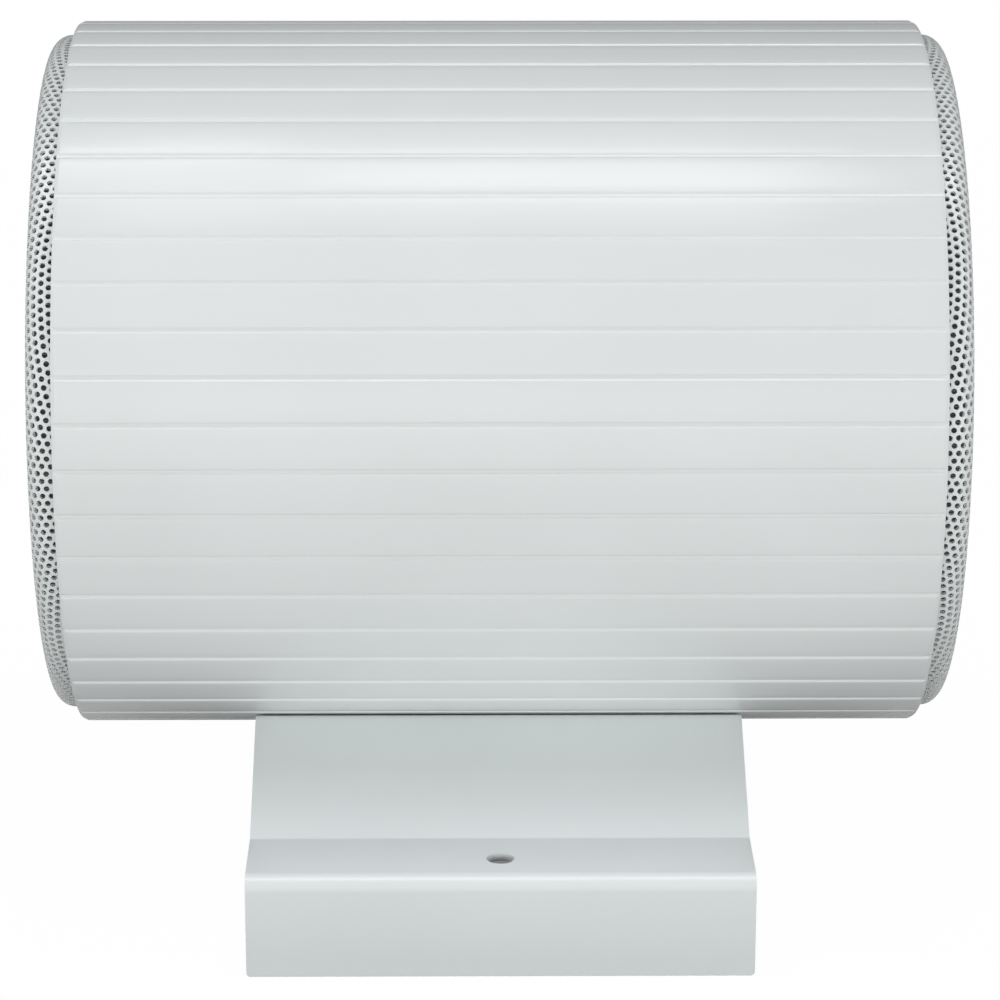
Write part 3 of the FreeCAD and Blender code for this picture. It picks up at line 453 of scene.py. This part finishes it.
def bridge(first, second):
    """Faces between two rings of as many points."""
    faces = []
    for index in range(len(first)):
        following = (index + 1) % len(first)
        faces.append((first[index], first[following], second[following], second[index]))
    return faces


def groove_points():
    """Groove section as (offset, depth) points, with each corner rounded."""
    land = (GROOVE_SECTION[0][0] * 2, 0.0)
    path = [Vector(point) for point in (land, *GROOVE_SECTION, (-land[0], 0.0))]
    points = []
    for before, corner, after in zip(path, path[1:], path[2:]):
        start = corner + (before - corner).normalized() * GROOVE_ROUNDING
        end = corner + (after - corner).normalized() * GROOVE_ROUNDING
        points += [start, (start + 2 * corner + end) / 4, end]
    return points


def tube_outline(radius):
    """Radius and angle of each point round the grooved tube, with rounded groove edges."""
    groove = groove_points()
    step = math.tau / GROOVE_COUNT
    land_start = groove[-1].x / radius
    land_span = step - 2 * land_start
    outline = []
    for index in range(GROOVE_COUNT):
        middle = index * step
        outline += [(radius - depth, middle + offset / radius) for offset, depth in groove]
        outline += [
            (radius, middle + land_start + land_span * part / LAND_STEPS)
            for part in range(1, LAND_STEPS)
        ]
    return outline


def make_coat(finishes):
    """Coat of paint on the tube: its grooved outside, its turned end edges and its end faces."""
    low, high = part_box("housing_tube")
    axis = (low.z + high.z) / 2
    outer = (high.z - low.z) / 2 + COAT_PROUD
    outline = tube_outline(outer)
    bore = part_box("right_grille")[1].y + COAT_LIP
    end = high.x + COAT_PROUD
    section = []
    for step in range(END_STEPS + 1):
        share = step / END_STEPS
        limit = outer - END_DEPTH * share
        turned = [(min(radius, limit), angle) for radius, angle in outline]
        section.append((end - END_LENGTH * (1 - share), turned))
    lip = [(bore, angle) for _, angle in outline]
    inside = [(bore + COAT_INSIDE, angle) for _, angle in outline]
    section += [(end, lip), (end - END_DEPTH, lip), (end - END_DEPTH, inside)]
    section = [(-x, ring) for x, ring in section[::-1]] + section
    points = []
    rings = []
    for x, ring in section:
        rings.append(range(len(points), len(points) + len(ring)))
        points += [(x, radius * math.cos(angle), axis + radius * math.sin(angle)) for radius, angle in ring]
    faces = []
    for first, second in zip(rings, rings[1:] + rings[:1]):
        faces += bridge(first, second)
    piece = new_piece("tube_coat", points, faces, "tube_paint", finishes)
    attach(piece, "housing")


class Dome:
    """The grille's outer face, by length along it from its apex: crown, knuckle and straight skirt."""

    def __init__(self):
        low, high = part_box("right_grille")
        tube_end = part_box("housing_tube")[1].x
        self.apex = high.x
        self.skirt_end = low.x
        self.radius = (high.z - low.z) / 2
        self.height = (high.z + low.z) / 2
        self.knuckle_x = tube_end + GRILLE_EDGE
        self.knuckle_r = self.radius - GRILLE_KNUCKLE
        drop = self.knuckle_x - self.apex
        self.crown = (GRILLE_KNUCKLE ** 2 - drop ** 2 - self.knuckle_r ** 2) / (2 * (drop + GRILLE_KNUCKLE))
        self.crown_x = self.apex - self.crown
        self.join = math.atan2(self.knuckle_r, self.knuckle_x - self.crown_x)
        self.crown_length = self.crown * self.join
        self.skirt_start = self.crown_length + GRILLE_KNUCKLE * (math.pi / 2 - self.join)
        self.rim = self.skirt_start + self.knuckle_x - tube_end
        self.full_length = self.skirt_start + self.knuckle_x - self.skirt_end

    def section(self, length, depth):
        """Place along the tube and radius, at a depth below the outer face."""
        if length < self.crown_length:
            turn = length / self.crown
            reach = self.crown - depth
            return self.crown_x + reach * math.cos(turn), reach * math.sin(turn)
        if length < self.skirt_start:
            turn = self.join + (length - self.crown_length) / GRILLE_KNUCKLE
            reach = GRILLE_KNUCKLE - depth
            return self.knuckle_x + reach * math.cos(turn), self.knuckle_r + reach * math.sin(turn)
        return self.knuckle_x - (length - self.skirt_start), self.radius - depth

    def drawn(self, blank_length):
        """Length from the apex of a place on the flat blank, whose middle is stretched as it is drawn."""
        share = blank_length / BLANK_RIM
        return blank_length + (self.rim - BLANK_RIM) * share * (2 - share)

    def point(self, flat, length, depth, side):
        """Place at a length from the apex, in the direction of a point of the flat blank."""
        across, up = flat.normalized()
        along, reach = self.section(length, depth)
        return side * along, -across * reach, self.height + up * reach


def hole_centres(name):
    """Close-packed holes of the flat blank, in rows that run nearly level across the tube."""
    turn = Matrix.Rotation(LATTICE_TURN[name], 2)
    limit = BLANK_RIM + PERFORATED_BELOW_RIM
    row_step = HOLE_PITCH * math.sqrt(3) / 2
    rows = int(limit / row_step) + 1
    places = int(limit / HOLE_PITCH) + 1
    centres = []
    for row in range(-rows, rows + 1):
        for place in range(-places, places + 1):
            across = (place + (row % 2) / 2) * HOLE_PITCH
            centre = turn @ Vector((across, row * row_step)) + LATTICE_SHIFT[name]
            if centre.length < limit:
                centres.append(centre)
    return centres


def loop_of(centre, sides, flat_radius):
    """Corners of a hole whose sides lie at a given distance from its centre."""
    reach = flat_radius / math.cos(math.pi / sides)
    turns = [math.tau * (side + 0.5) / HOLE_SIDES for side in range(0, HOLE_SIDES, HOLE_SIDES // sides)]
    return [centre + Vector((reach * math.cos(turn), reach * math.sin(turn))) for turn in turns]


def fill(loops, rim):
    """Triangles of the flat blank between its holes and its rim."""
    points = []
    edges = []
    owners = []
    for owner, loop in enumerate([*loops, rim]):
        start = len(points)
        for index, point in enumerate(loop):
            points.append(point)
            owners.append(owner)
            edges.append((start + index, start + (index + 1) % len(loop)))
    triangles = delaunay_2d_cdt(points, edges, [], 0, 0, False)[2]
    rim_owner = len(loops)
    kept = []
    for triangle in triangles:
        found = {owners[corner] for corner in triangle}
        if len(found) > 1 or found == {rim_owner}:
            kept.append(tuple(triangle))
    return points, kept


def wall_faces(outer, inner):
    """Faces between a hole's outer corners and its inner corners, which may be fewer."""
    step = len(outer) // len(inner)
    faces = []
    for index, corner in enumerate(inner):
        following = inner[(index + 1) % len(inner)]
        fan = [outer[(index * step + turn) % len(outer)] for turn in range(step + 1)]
        middle = step // 2
        for turn in range(step):
            near = corner if turn < middle or step == 1 else following
            faces.append((fan[turn], near, fan[turn + 1]))
        faces.append((fan[middle], corner, following))
    return faces


def make_grille(name, dome, finishes):
    """Perforated sheet of one end, drawn into a dome, with real holes and a skirt inside the tube."""
    side = SIDES[name]
    rim_length = BLANK_RIM + PERFORATED_BELOW_RIM + 2 * HOLE_RADIUS
    rim = [rim_length * direction for direction in directions(SKIRT_SEGMENTS)]
    outer_loops = []
    inner_loops = []
    for centre in hole_centres(name):
        near_rim = centre.length > BLANK_RIM - ROUND_WALL_REACH
        outer_loops.append(loop_of(centre, HOLE_SIDES, HOLE_RADIUS))
        inner_loops.append(loop_of(centre, HOLE_SIDES if near_rim else PLAIN_HOLE_SIDES, HOLE_RADIUS))
    outer_flat, outer_faces = fill(outer_loops, rim)
    inner_flat, inner_faces = fill(inner_loops, rim)
    points = [dome.point(flat, dome.drawn(flat.length), 0, side) for flat in outer_flat]
    points += [dome.point(flat, dome.drawn(flat.length), GRILLE_SHEET, side) for flat in inner_flat]
    inner_start = len(outer_flat)
    faces = list(outer_faces)
    faces += [tuple(inner_start + corner for corner in face[::-1]) for face in inner_faces]
    outer_at = 0
    inner_at = inner_start
    for outer_loop, inner_loop in zip(outer_loops, inner_loops):
        outer = [outer_at + corner for corner in range(len(outer_loop))]
        inner = [inner_at + corner for corner in range(len(inner_loop))]
        faces += wall_faces(outer, inner)
        outer_at += len(outer_loop)
        inner_at += len(inner_loop)
    rings = [range(outer_at, outer_at + SKIRT_SEGMENTS)]
    for depth in (0, GRILLE_SHEET):
        rings.append(range(len(points), len(points) + SKIRT_SEGMENTS))
        points += [dome.point(flat, dome.full_length, depth, side) for flat in rim]
    rings.append(range(inner_at, inner_at + SKIRT_SEGMENTS))
    for first, second in zip(rings, rings[1:]):
        faces += bridge(second, first)
    if side > 0:
        faces = [face[::-1] for face in faces]
    piece = new_piece(f"{name}_grille_sheet", points, faces, "grille_paint", finishes)
    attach(piece, "housing")
    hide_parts(f"{name}_grille")


def make_cloth(name, dome, finishes):
    """Cloth that lines one grille, from its apex to below the tube's end."""
    side = SIDES[name]
    points = []
    rings = []
    reach = dome.rim + CLOTH_BELOW_RIM
    for step in range(CLOTH_STEPS + 1):
        length = reach * (step + 1) / (CLOTH_STEPS + 1)
        rings.append(range(len(points), len(points) + CLOTH_SEGMENTS))
        points += [
            dome.point(flat, length, GRILLE_SHEET + CLOTH_GAP, side)
            for flat in directions(CLOTH_SEGMENTS)
        ]
    faces = []
    for first, second in zip(rings, rings[1:]):
        faces += bridge(first, second)
    faces.append(tuple(rings[0]))
    piece = new_piece(f"{name}_cloth_lining", points, faces, "dust_cloth", finishes)
    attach(piece, "housing")
    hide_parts(f"{name}_dust_cloth")


def make_flexing(name, part):
    """Copy of the surround or spider between the housing and the cone, set in place instead of its CAD
    node.
    """
    node = f"{name}_{part}"
    mesh = frame["nodes"][node].data.copy()
    mesh.name = f"{node}_flexing"
    piece = bpy.data.objects.new(mesh.name, mesh)
    bpy.context.scene.collection.objects.link(piece)
    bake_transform(piece)
    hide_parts(node)


def white_share(graph):
    """How white the floor looks: nearly all white, but shaded under the middle of the bracket."""
    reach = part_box("mounting_bracket")[1]
    split = graph.add("ShaderNodeSeparateXYZ")
    graph.join(graph.place, split.inputs["Vector"])
    across = graph.work_out("ABSOLUTE", split.outputs["X"])
    deep = graph.work_out("ABSOLUTE", split.outputs["Y"])
    beside = graph.eased(across, FLOOR_DARK_REACH, reach.x)
    beyond = graph.work_out("GREATER_THAN", deep, reach.y)
    return graph.between(graph.work_out("MAXIMUM", beside, beyond), FLOOR_UNDER, FLOOR_WHITE)


def floor_material():
    """White to the camera, with the object's shadow; to other rays a floor that gives back some light."""
    graph = Graph("floor_white")
    graph.tree.nodes.remove(graph.tree.nodes["Principled BSDF"])
    rays = graph.add("ShaderNodeLightPath").outputs
    dim = graph.add("ShaderNodeBsdfDiffuse", Color=(FLOOR_BOUNCE, FLOOR_BOUNCE, FLOOR_BOUNCE, 1))
    shaded = graph.add("ShaderNodeBsdfDiffuse", Color=(1, 1, 1, 1)).outputs["BSDF"]
    white = graph.add("ShaderNodeEmission").outputs["Emission"]
    mirrored = graph.work_out("MAXIMUM", rays["Is Glossy Ray"], rays["Is Transmission Ray"])
    to_others = graph.mixed(mirrored, dim.outputs["BSDF"], shaded)
    to_camera = graph.mixed(white_share(graph), shaded, white)
    shader = graph.mixed(rays["Is Camera Ray"], to_others, to_camera)
    graph.join(shader, graph.tree.nodes["Material Output"].inputs["Surface"])
    return graph.material


def make_floor():
    """Wide floor that the object stands on."""
    half = FLOOR_SIZE / 2
    corners = [(-half, -half, 0), (half, -half, 0), (half, half, 0), (-half, half, 0)]
    mesh = bpy.data.meshes.new("floor")
    mesh.from_pydata(corners, [], [(0, 1, 2, 3)])
    mesh.materials.append(floor_material())
    floor = bpy.data.objects.new("floor", mesh)
    bpy.context.scene.collection.objects.link(floor)


def make_world():
    """Even soft light from all round."""
    world = bpy.data.worlds.new("studio")
    bpy.context.scene.world = world
    world.use_nodes = True
    background = world.node_tree.nodes["Background"]
    background.inputs["Color"].default_value = (1, 1, 1, 1)
    background.inputs["Strength"].default_value = AMBIENT


def make_lamp(name, centre, aim, size, radiance, mirrored=False, tint=(1, 1, 1)):
    """Rectangular soft lamp of even radiance, out of the camera's sight."""
    data = bpy.data.lights.new(name, "AREA")
    data.shape = "RECTANGLE"
    data.size, data.size_y = size
    data.energy = math.pi * size[0] * size[1] * radiance
    data.color = tint
    lamp = bpy.data.objects.new(name, data)
    lamp.location = centre
    lamp.rotation_mode = "QUATERNION"
    lamp.rotation_quaternion = (aim - centre).to_track_quat("-Z", "Y")
    lamp.visible_camera = False
    lamp.visible_glossy = mirrored
    bpy.context.scene.collection.objects.link(lamp)


def make_camera():
    """Camera from how the tube's axes and centre lie before it: right, down and forward."""
    along = Vector((
        math.cos(CAMERA_YAW) * math.cos(CAMERA_ROLL),
        math.cos(CAMERA_YAW) * math.sin(CAMERA_ROLL),
        math.sin(CAMERA_YAW),
    ))
    up = Vector((0, -math.cos(CAMERA_PITCH), -math.sin(CAMERA_PITCH)))
    up = (up - up.project(along)).normalized()
    to_frame = Matrix((along, up.cross(along), up))
    data = bpy.data.cameras.new("camera")
    data.lens = LENS_MM
    data.sensor_width = SENSOR_MM
    camera = bpy.data.objects.new("camera", data)
    turn = to_frame @ Matrix.Diagonal(CAMERA_AXES)
    low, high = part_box("housing_tube")
    place = (low + high) / 2 - to_frame @ TUBE_BEFORE_CAMERA
    camera.matrix_world = Matrix.Translation(place) @ turn.to_4x4()
    bpy.context.scene.collection.objects.link(camera)
    bpy.context.scene.camera = camera


def main():
    """Dress the frame, then set the stage."""
    finishes = make_finishes()
    dress_nodes(finishes)
    make_coat(finishes)
    dome = Dome()
    for name in SIDES:
        make_grille(name, dome, finishes)
        make_cloth(name, dome, finishes)
        for part in FLEXING:
            make_flexing(name, part)
    make_floor()
    make_world()
    for name, lamp in TOP_LAMPS.items():
        make_lamp(name, *lamp, mirrored=True, tint=TOP_TINT)
    for name, lamp in FILL_LAMPS.items():
        make_lamp(name, *lamp)
    make_camera()
    bpy.context.scene.view_settings.view_transform = "Standard"


main()
